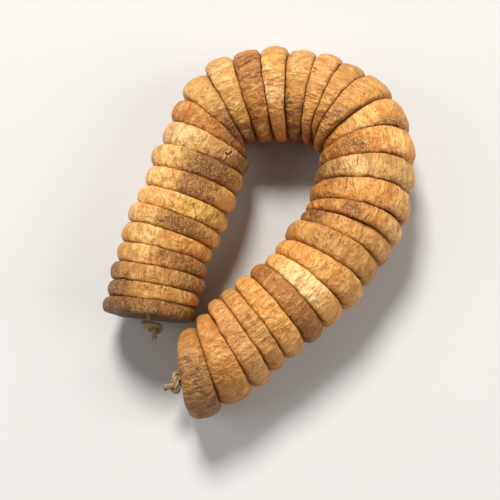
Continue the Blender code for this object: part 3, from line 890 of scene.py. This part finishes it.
class NodeMaker:
    """Adds linked shader nodes to one new material, each from its inputs."""

    def __init__(self, material_name):
        self.material = bpy.data.materials.new(material_name)
        self.material.use_nodes = True
        self.tree = self.material.node_tree
        self.shader = self.tree.nodes["Principled BSDF"]
        self.count = 0

    def new(self, kind, **settings):
        node = self.tree.nodes.new(kind)
        self.count += 1
        node.location = (-220 * (1 + self.count % 12), -180 * (self.count // 12))
        for name, value in settings.items():
            setattr(node, name, value)
        return node

    def feed(self, node, inputs):
        """Links each input to another node's output, or sets it to a number or a colour."""
        for name, value in inputs.items():
            socket = node.inputs[name]
            if isinstance(value, bpy.types.NodeSocket):
                self.tree.links.new(value, socket)
            else:
                socket.default_value = (*value, 1.0) if socket.type == "RGBA" else value

    def output(self, kind, output, inputs, **settings):
        """The named output of a new node that is fed with these inputs."""
        node = self.new(kind, **settings)
        self.feed(node, inputs)
        return node.outputs[output]

    def attribute(self, name, output="Fac"):
        return self.output("ShaderNodeAttribute", output, {}, attribute_name=name)

    def coordinates(self):
        return self.output("ShaderNodeTexCoord", "Object", {})

    def noise(self, vector, scale, detail, roughness, seed, distortion=0.0):
        inputs = {"Vector": vector, "W": seed, "Scale": scale, "Detail": detail}
        inputs.update(Roughness=roughness, Distortion=distortion)
        return self.output("ShaderNodeTexNoise", "Fac", inputs, noise_dimensions="4D")

    def between(self, value, low, high, to_low=0.0, to_high=1.0):
        inputs = {"Value": value, "From Min": low, "From Max": high, "To Min": to_low, "To Max": to_high}
        return self.output("ShaderNodeMapRange", "Result", inputs, interpolation_type="SMOOTHSTEP")

    def maths(self, operation, a, b):
        return self.output("ShaderNodeMath", "Value", {0: a, 1: b}, operation=operation)

    def sum(self, a, b):
        return self.maths("ADD", a, b)

    def product(self, a, b):
        return self.maths("MULTIPLY", a, b)

    def mix(self, share, under, over, blend="MIX"):
        inputs = {"Factor": share, MIX_UNDER: under, MIX_OVER: over}
        return self.output("ShaderNodeMix", MIX_RESULT, inputs, data_type="RGBA", blend_type=blend)

    def lay_tones(self, colour, layers):
        """The colour with layers over it, each a (pattern, start, full, strength, tone)."""
        for pattern, start, full, strength, tone in layers:
            colour = self.mix(self.between(pattern, start, full, 0.0, strength), colour, tone)
        return colour

    def scale(self, colour, factor):
        return self.output("ShaderNodeVectorMath", "Vector", {0: colour, "Scale": factor}, operation="SCALE")

    def bumps(self, layers):
        """The normal of bumps over each other, from (pattern, height in millimetres) of each."""
        link = {}
        for pattern, height_mm in layers:
            inputs = {"Height": pattern, "Distance": height_mm * MM, **link}
            link = {"Normal": self.output("ShaderNodeBump", "Normal", inputs)}
        return link["Normal"]

    def finish(self, colour, roughness, specular, normal):
        """The material, with its shader fed."""
        inputs = {"Base Color": colour, "Roughness": roughness, "Specular IOR Level": specular}
        self.feed(self.shader, {**inputs, "Normal": normal})
        return self.material


def scaled(colour, factor):
    return tuple(min(1.0, channel * factor) for channel in colour)


def deeper(colour, factor):
    """A darker and richer tone of a colour, as the same skin is where it is thicker."""
    return tuple(channel * factor**power for channel, power in zip(colour, (1.0, 1.55, 2.3)))


def skin_patterns(make):
    """The skin's patterns by name, each a number for every point."""
    coords = make.coordinates()
    ring = make.output("ShaderNodeUVMap", "UV", {}, uv_map="skin_map")
    seed = make.product(make.attribute("fig_number"), SEED_STEP)
    skin = SimpleNamespace()
    for name, (on_ring, scale, detail, roughness, shift, distortion) in PATTERNS.items():
        own_seed = make.sum(seed, shift) if shift else seed
        noise = make.noise(ring if on_ring else coords, scale, detail, roughness, own_seed, distortion)
        setattr(skin, name, noise)
    skin.pores = make.between(skin.pores, 0.70, 0.75)
    from_line = make.maths("ABSOLUTE", make.maths("SUBTRACT", skin.wrinkles, 0.5), 0.0)
    skin.wrinkles = make.product(make.between(from_line, 0.035, 0.0), make.between(skin.blotch, 0.46, 0.60))
    return skin


def fresh_colour(make, skin, tone, settings):
    """The fig's own tone with its patches, its blotches, its ribs and its wrinkles."""
    colour = make.mix(make.between(skin.broad, 0.36, 0.64), deeper(tone, 0.90), scaled(tone, 1.10))
    for kind, strength in PATCH_STRENGTHS.items():
        weight = make.attribute(kind)
        torn = make.between(make.sum(make.product(weight, 1.4), make.product(skin.blotch, 1.5)), 1.1, 2.0)
        share = make.product(torn, make.between(weight, 0.0, 0.25, 0.0, strength))
        colour = make.mix(share, colour, tuple(getattr(settings, kind)))
    colour = make.lay_tones(colour, (
        (skin.blotch, 0.52, 0.36, 0.70, deeper(tone, 0.64)),
        (skin.blotch, 0.52, 0.68, 0.48, settings.bloom),
        (skin.rib, 0.50, 0.36, 0.50, deeper(tone, 0.64)),
        (skin.rib, 0.52, 0.66, 0.42, settings.bloom),
        (skin.hair, 0.47, 0.34, 0.46, deeper(tone, 0.54)),
        (skin.mottle, 0.47, 0.34, 0.42, deeper(tone, 0.48)),
        (skin.mottle, 0.55, 0.66, 0.18, settings.bloom),
    ))
    return make.mix(make.product(skin.wrinkles, 0.60), colour, deeper(tone, 0.40))


def soak(make, skin, colour, brown, settings):
    """The colour with syrup soaked through it, streaked and flecked, where on a few figs the syrup patches
    are painted shadow, and with pale flecks left over it that are partly painted highlights.
    """
    colour = make.mix(make.product(brown, 0.74), colour, settings.syrup)
    streak = make.product(make.between(skin.hair, 0.54, 0.40), make.product(brown, 0.50))
    colour = make.mix(streak, colour, scaled(settings.syrup, 0.8))
    dark_fleck = make.product(make.between(skin.mottle, 0.49, 0.37), make.product(brown, 0.75))
    colour = make.mix(dark_fleck, colour, scaled(settings.syrup, 0.40))
    # Pale flecks on the brown: partly the seeds and sugar showing through, partly painted highlights on the
    # bumps.
    fleck_and_glint = make.product(make.between(skin.mottle, 0.56, 0.62), make.between(skin.hair, 0.46, 0.56))
    fleck_and_glint_share = make.product(fleck_and_glint, make.between(brown, 0.0, 0.6, 0.15, 0.75))
    return make.mix(fleck_and_glint_share, colour, settings.bloom)


def paint_crease_shade_and_lips(make, skin, colour, settings):
    """The colour with painted shade towards, beside and down in the creases and the marks' grooves, partly
    the darker tone of pressed skin, and pale lips that are partly painted highlights.
    """
    uneven = make.maths("SUBTRACT", make.sum(skin.hair, skin.rib), 1.0)
    away = make.sum(make.attribute("from_crease"), make.product(uneven, CREASE_WANDER_MM))
    # Darker towards the creases: partly the pressed skin's own tone, partly painted shade.
    colour = make.mix(make.between(away, 2.0, 0.3, 0.0, 0.60), colour, PRESSED_SHADE_TINT, "MULTIPLY")
    # Pale lips beside the creases and the marks: partly the skin's pale edge, partly painted highlight.
    lip = make.product(make.between(away, 1.0, 0.6), make.between(away, 0.25, 0.4))
    lip = make.product(lip, make.between(skin.blotch, 0.40, 0.60))
    colour = make.mix(make.product(lip, 0.60), colour, settings.lip)
    colour = make.mix(make.product(make.attribute("pale_mark"), 0.75), colour, settings.lip)
    # Red-brown painted shade on the skin just beside the creases.
    colour = make.lay_tones(colour, ((away, 0.85, 0.2, 0.60, settings.seam),))
    # Painted shade down in each crease and in the marks' grooves.
    crease = make.maths("MAXIMUM", make.between(away, 0.24, 0.10), make.attribute("dark_mark"))
    return make.mix(make.product(crease, 0.97), colour, settings.crease)


def skin_material(slot, settings):
    """Dried fig skin in one of the five tones, with its patches, wrinkles and speckles, pale lips, and
    painted shade in and beside its creases; the speckles and lips are partly painted highlights.
    """
    make = NodeMaker(slot)
    skin = skin_patterns(make)
    tone = tuple(getattr(settings, slot.removesuffix("_skin")))
    syrup = make.attribute("syrup")
    soaked = make.sum(syrup, make.product(make.maths("SUBTRACT", skin.blotch, 0.5), 2.0))
    brown = make.product(make.between(soaked, 0.10, 0.95), make.between(syrup, 0.0, 0.25))
    colour = soak(make, skin, fresh_colour(make, skin, tone, settings), brown, settings)
    colour = make.lay_tones(colour, ((skin.grain, 0.45, 0.30, 0.25, deeper(tone, 0.60)),))
    colour = make.mix(make.product(skin.pores, 0.65), colour, settings.syrup)
    colour = paint_crease_shade_and_lips(make, skin, make.scale(colour, make.attribute("light")), settings)
    normal = make.bumps((
        (skin.grain, 0.06),
        (make.product(skin.mottle, make.sum(brown, 0.75)), 0.42),
        (skin.hair, 0.24),
        (skin.pebble, 0.75),
        (skin.rib, 1.30),
        (skin.blotch, 1.20),
        (skin.wrinkles, -0.22),
        (skin.pores, -0.25),
    ))
    roughness = make.between(skin.blotch, 0.3, 0.7, 0.52, 0.38)
    return make.finish(colour, roughness, specular=0.36, normal=normal)


def even_steps(line, step):
    """The line with its points at even steps."""
    run = run_along(line)
    count = max(2, int(round(run[-1] / step)) + 1)
    at = np.linspace(0.0, run[-1], count)
    return np.stack([np.interp(at, run, line[:, way]) for way in range(3)], axis=1)


def tight_knot():
    """The centre line of an overhand knot along X, tied loosely and then drawn tight."""
    turn = np.linspace(-2.2, 2.2, 400)
    # The usual curve of three polynomials that crosses itself as an overhand knot does
    loose = np.stack((turn**5 - 10.0 * turn, turn**3 - 3.0 * turn, turn**4 - 4.0 * turn**2 + 2.0), axis=1)
    first, last = (-KNOT_REACH_MM, 0.0, 0.0), (KNOT_REACH_MM, 0.0, 0.0)
    line = even_steps(np.vstack((first, loose * LOOSE_KNOT_MM, last)), TWINE_STEP_MM)
    for _ in range(DRAWING_STEPS):
        line[1:-1] += ((line[:-2] + line[2:]) / 2 - line[1:-1]) / 2
        way = line[:, None, :] - line[None, :, :]
        distance = np.linalg.norm(way, axis=2)
        index = np.arange(len(line))
        apart = np.abs(index[:, None] - index[None, :]) * TWINE_STEP_MM > PUSH_FROM_MM
        touching = apart & (distance < KNOT_THICKNESS_MM)
        push = np.where(touching, (KNOT_THICKNESS_MM - distance) / np.maximum(distance, 1e-6), 0.0)
        shift = np.sum(way * push[:, :, None], axis=1) / np.maximum(touching.sum(axis=1), 1)[:, None]
        line[1:-1] += shift[1:-1] / 2
        line = even_steps(line, TWINE_STEP_MM)
    return line


def twine_end(place, side, knot, settings):
    """The twine's line from the end fig's outer face through its knot to the cut end."""
    hole = place.hole_centre()
    level = place.plane_height(side, hole[None, :])[0]
    face = place.to_world(np.array((hole[0], hole[1], level)))
    outward = side * place.axes[:, 2] * (1.0, 1.0, 0.0)
    outward /= np.linalg.norm(outward)
    axes = np.array((outward, np.cross(UP, outward), UP))
    line = knot + np.array((settings.knot_distance / MM, 0.0, 0.0))
    first = np.flatnonzero(line[:, 0] > TWINE_START_MM)[0]
    last = np.flatnonzero(line[:, 0] < settings.tail_length / MM)[-1]
    line = line[first : last + 1]
    line = line - line[0] * (0.0, 1.0, 1.0)
    return line @ axes + face


def twine_line(places, settings):
    """The twine's whole centre line, from the first fig's end to the last one's."""
    knot = tight_knot()
    inside = np.array([place.to_world(place.hole_centre()) for place in places[1:-1]])
    first = twine_end(places[0], -1, knot, settings)[::-1]
    last = twine_end(places[-1], 1, knot, settings)
    return even_steps(np.concatenate((first, inside, last)), TWINE_STEP_MM)


def frames_along(line):
    """(forward, sideways, upward) at each point of a line, turned as little as can be from step to step."""
    forward = np.gradient(line, axis=0)
    forward /= np.linalg.norm(forward, axis=1)[:, None]
    sideways = np.empty_like(line)
    before = np.cross(forward[0], UP)
    for here, ahead in enumerate(forward):
        before = before - ahead * (before @ ahead)
        before = before / np.linalg.norm(before)
        sideways[here] = before
    return forward, sideways, np.cross(forward, sideways)


class FibreMesh:
    """Gathers round strands into one mesh, with a place along and round its strand for each point."""

    def __init__(self):
        self.points = []
        self.faces = []
        self.places = []
        self.count = 0

    def add_strand(self, line, radii, sides, number):
        _, sideways, upward = frames_along(line)
        angle = np.linspace(0.0, 2.0 * math.pi, sides, endpoint=False)
        ring = sideways[:, None] * np.cos(angle)[:, None] + upward[:, None] * np.sin(angle)[:, None]
        self.points.append((line[:, None] + ring * radii[:, None, None]).reshape(-1, 3))
        run = run_along(line)[:, None]
        twist = angle + FIBRE_TWIST * run
        along = np.broadcast_to(FIBRE_RUN * run + STRAND_STEP * number, twist.shape)
        self.places.append(np.stack((np.cos(twist), np.sin(twist), along), axis=2).reshape(-1, 3))
        first, last = self.count, self.count + (len(line) - 1) * sides
        for low in range(first, last, sides):
            for side in range(sides):
                here, beside = low + side, low + (side + 1) % sides
                self.faces.append((here, beside, beside + sides, here + sides))
        self.faces.append(tuple(reversed(range(first, first + sides))))
        self.faces.append(tuple(range(last, last + sides)))
        self.count = last + sides

    def build(self, name):
        mesh = bpy.data.meshes.new(name)
        mesh.from_pydata(np.concatenate(self.points) * MM, [], self.faces)
        place = mesh.attributes.new("fibre_place", "FLOAT_VECTOR", "POINT")
        place.data.foreach_set("vector", np.concatenate(self.places).astype(np.float32).ravel())
        piece = bpy.data.objects.new(name, mesh)
        bpy.context.scene.collection.objects.link(piece)
        select_only(piece)
        bpy.ops.object.mode_set(mode="EDIT")
        bpy.ops.mesh.select_all(action="SELECT")
        bpy.ops.mesh.normals_make_consistent(inside=False)
        bpy.ops.object.mode_set(mode="OBJECT")
        mesh.shade_smooth()
        return piece


def add_plies(strands, line, settings):
    """Winds the plies round the line, with loose fibres where it is cut at both ends."""
    forward, sideways, upward = frames_along(line)
    run = np.arange(len(line)) * TWINE_STEP_MM
    from_end = np.minimum(run, run[-1] - run)
    spread = 1.0 + END_SPREAD * (1.0 - smoothstep(0.0, END_SPREAD_MM, from_end))
    thinning = 1.0 - END_THINNING + END_THINNING * smoothstep(0.0, END_THINNING_MM, from_end)
    chance = np.random.default_rng(FIBRE_SEED)
    for ply in range(PLIES):
        wind = (2.0 * math.pi * run * MM / settings.lay_length + ply * 2.0 * math.pi / PLIES)[:, None]
        ray = sideways * np.cos(wind) + upward * np.sin(wind)
        ply_line = line + ray * (settings.ply_offset / MM * spread)[:, None]
        uneven = 1.0 + sum(share * np.sin(run * turn + ply * shift) for share, turn, shift in PLY_WAVES)
        strands.add_strand(ply_line, settings.ply_radius / MM * uneven * thinning, PLY_SIDES, ply)
        for end, way in ((0, -1.0), (-1, 1.0)):
            for fibre in range(FIBRES_PER_PLY):
                lean = chance.normal(0.0, FIBRE_LEAN, 3)
                start = ply_line[end] + chance.normal(0.0, FIBRE_SCATTER_MM, 3)
                share = np.linspace(0.0, 1.0, FIBRE_POINTS)[:, None]
                length = settings.fibre_length / MM * chance.uniform(0.5, 1.0)
                lean[2] -= FIBRE_DROOP * chance.uniform(0.2, 1.0)
                path = start + way * forward[end] * (share * length - 0.5) + lean * share**2 * length
                radii = settings.fibre_radius / MM * (1.0 - FIBRE_THINNING * share[:, 0])
                strands.add_strand(path, radii, FIBRE_SIDES, PLIES + fibre)


def twine_material(settings):
    """Natural fibre, streaked along each ply, with painted shade down between the fibres and painted
    highlight on the fibres that catch the light.
    """
    make = NodeMaker("twine")
    place = make.attribute("fibre_place", "Vector")
    fibre = make.noise(place, 7.0, 4.0, 0.65, 0.0, 0.3)
    strand = make.noise(place, 2.4, 2.0, 0.5, 3.0)
    soil = make.noise(make.coordinates(), 120.0, 3.0, 0.6, 1.0)
    tones = scaled(settings.main_colour, 0.8), scaled(settings.main_colour, 1.15)
    # The fibre's low places get painted shade and its high places painted highlight; the soil's dark patches
    # are dirt.
    colour = make.lay_tones(make.mix(make.between(strand, 0.35, 0.65), *tones), (
        (fibre, 0.50, 0.36, 0.75, settings.dark_colour),
        (fibre, 0.54, 0.68, 0.70, settings.light_colour),
        (soil, 0.50, 0.75, 0.35, settings.dark_colour),
    ))
    roughness = make.between(fibre, 0.3, 0.7, 0.95, 0.75)
    return make.finish(colour, roughness, specular=0.2, normal=make.bumps(((fibre, 0.25),)))


class STRAND_OT_dress_figs(bpy.types.Operator):
    """Give every fig its wrinkled and mottled skin"""

    bl_idname = "strand.dress_figs"
    bl_label = "Dress Figs"

    def execute(self, context):
        settings = context.scene.fig_skin
        cloud_texture("swells", settings.swell_size)
        cloud_texture("dents", settings.dent_size, 2)
        cloud_texture("pimples", settings.pimple_size)
        cloud_texture("ribs", 2.0 * settings.rib_width / MM / MAP_UNIT_MM, 2)
        slots = sorted(set(SLOT_OF_NODE[name] for name in FIG_NAMES))
        skins = {slot: skin_material(slot, settings) for slot in slots}
        for number, place in enumerate(read_places(), start=1):
            piece = new_skin(place, number, settings)
            slot = SLOT_OF_NODE[place.name]
            piece.data.materials.append(skins[slot])
            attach(piece, "root")
            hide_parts(place.name)
        return {"FINISHED"}


class STRAND_OT_lay_twine(bpy.types.Operator):
    """Lay the plied twine through the figs and knot both its ends"""

    bl_idname = "strand.lay_twine"
    bl_label = "Lay Twine"

    def execute(self, context):
        settings = context.scene.strand_twine
        strands = FibreMesh()
        add_plies(strands, twine_line(read_places(), settings), settings)
        piece = strands.build("plied_twine")
        apply_waviness(piece, context.scene.fig_skin)
        piece.data.materials.append(twine_material(settings))
        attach(piece, "root")
        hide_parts("twine")
        return {"FINISHED"}


def place_facing(obj, location, way):
    """Puts a light or a camera at the location, looking along the way, and links it to the scene."""
    obj.location = location
    obj.rotation_mode = "QUATERNION"
    obj.rotation_quaternion = way.to_track_quat("-Z", "Y")
    bpy.context.scene.collection.objects.link(obj)


def lay_floor(colour):
    bpy.ops.object.select_all(action="DESELECT")
    bpy.ops.mesh.primitive_plane_add(size=FLOOR_SIZE)
    floor = bpy.context.object
    floor.name = "floor"
    material = bpy.data.materials.new("pale_floor")
    material.use_nodes = True
    shader = material.node_tree.nodes["Principled BSDF"]
    shader.inputs["Base Color"].default_value = (*colour, 1.0)
    shader.inputs["Roughness"].default_value = FLOOR_ROUGHNESS
    floor.data.materials.append(material)


def set_lights():
    world = bpy.data.worlds.new("studio")
    world.use_nodes = True
    background = world.node_tree.nodes["Background"]
    background.inputs["Color"].default_value = AIR_COLOUR
    background.inputs["Strength"].default_value = AIR_STRENGTH
    bpy.context.scene.world = world
    for name, (location, size, power, colour) in LIGHTS.items():
        light = bpy.data.lights.new(name, "AREA")
        light.shape = "DISK"
        light.size = size
        light.energy = power
        light.color = colour
        place_facing(bpy.data.objects.new(name, light), location, Vector(LIT_POINT) - Vector(location))


def set_camera(settings):
    """Looks down at the target from the distance at which the frame has its width there."""
    camera = bpy.data.objects.new("camera", bpy.data.cameras.new("camera"))
    camera.data.lens = settings.focal_length
    camera.data.clip_start = 0.01
    back = Vector((0.0, -math.cos(settings.elevation), math.sin(settings.elevation)))
    distance = settings.frame_width * settings.focal_length / camera.data.sensor_width
    place_facing(camera, Vector(settings.target) + back * distance, -back)
    bpy.context.scene.camera = camera


class STRAND_OT_set_stage(bpy.types.Operator):
    """Set the plain pale floor, the soft studio lights and the camera"""

    bl_idname = "strand.set_stage"
    bl_label = "Set Stage"

    def execute(self, context):
        settings = context.scene.strand_stage
        lay_floor(settings.floor_colour)
        set_lights()
        set_camera(settings)
        context.scene.view_settings.view_transform = "Standard"
        return {"FINISHED"}


class STRAND_PT_panel(bpy.types.Panel):
    """The steps that dress the strand, in the sidebar"""

    bl_idname = "STRAND_PT_panel"
    bl_label = "Dried Figs"
    bl_space_type = "VIEW_3D"
    bl_region_type = "UI"
    bl_category = "Dried Figs"

    def draw(self, context):
        for operator in OPERATORS:
            self.layout.operator(operator.bl_idname)
        for group in SETTINGS:
            settings = getattr(context.scene, group)
            box = self.layout.box()
            for name in settings.bl_rna.properties.keys():
                if name not in ("rna_type", "name"):
                    box.prop(settings, name)


SETTINGS = {"fig_skin": SkinSettings, "strand_twine": TwineSettings, "strand_stage": StageSettings}
OPERATORS = (STRAND_OT_dress_figs, STRAND_OT_lay_twine, STRAND_OT_set_stage)
CLASSES = (*SETTINGS.values(), *OPERATORS, STRAND_PT_panel)


def register():
    for cls in CLASSES:
        bpy.utils.register_class(cls)
    for group, cls in SETTINGS.items():
        setattr(bpy.types.Scene, group, bpy.props.PointerProperty(type=cls))


def unregister():
    for group in SETTINGS:
        delattr(bpy.types.Scene, group)
    for cls in reversed(CLASSES):
        bpy.utils.unregister_class(cls)


def main():
    register()
    bpy.ops.strand.dress_figs()
    bpy.ops.strand.lay_twine()
    bpy.ops.strand.set_stage()


if __name__ == "__main__":
    main()
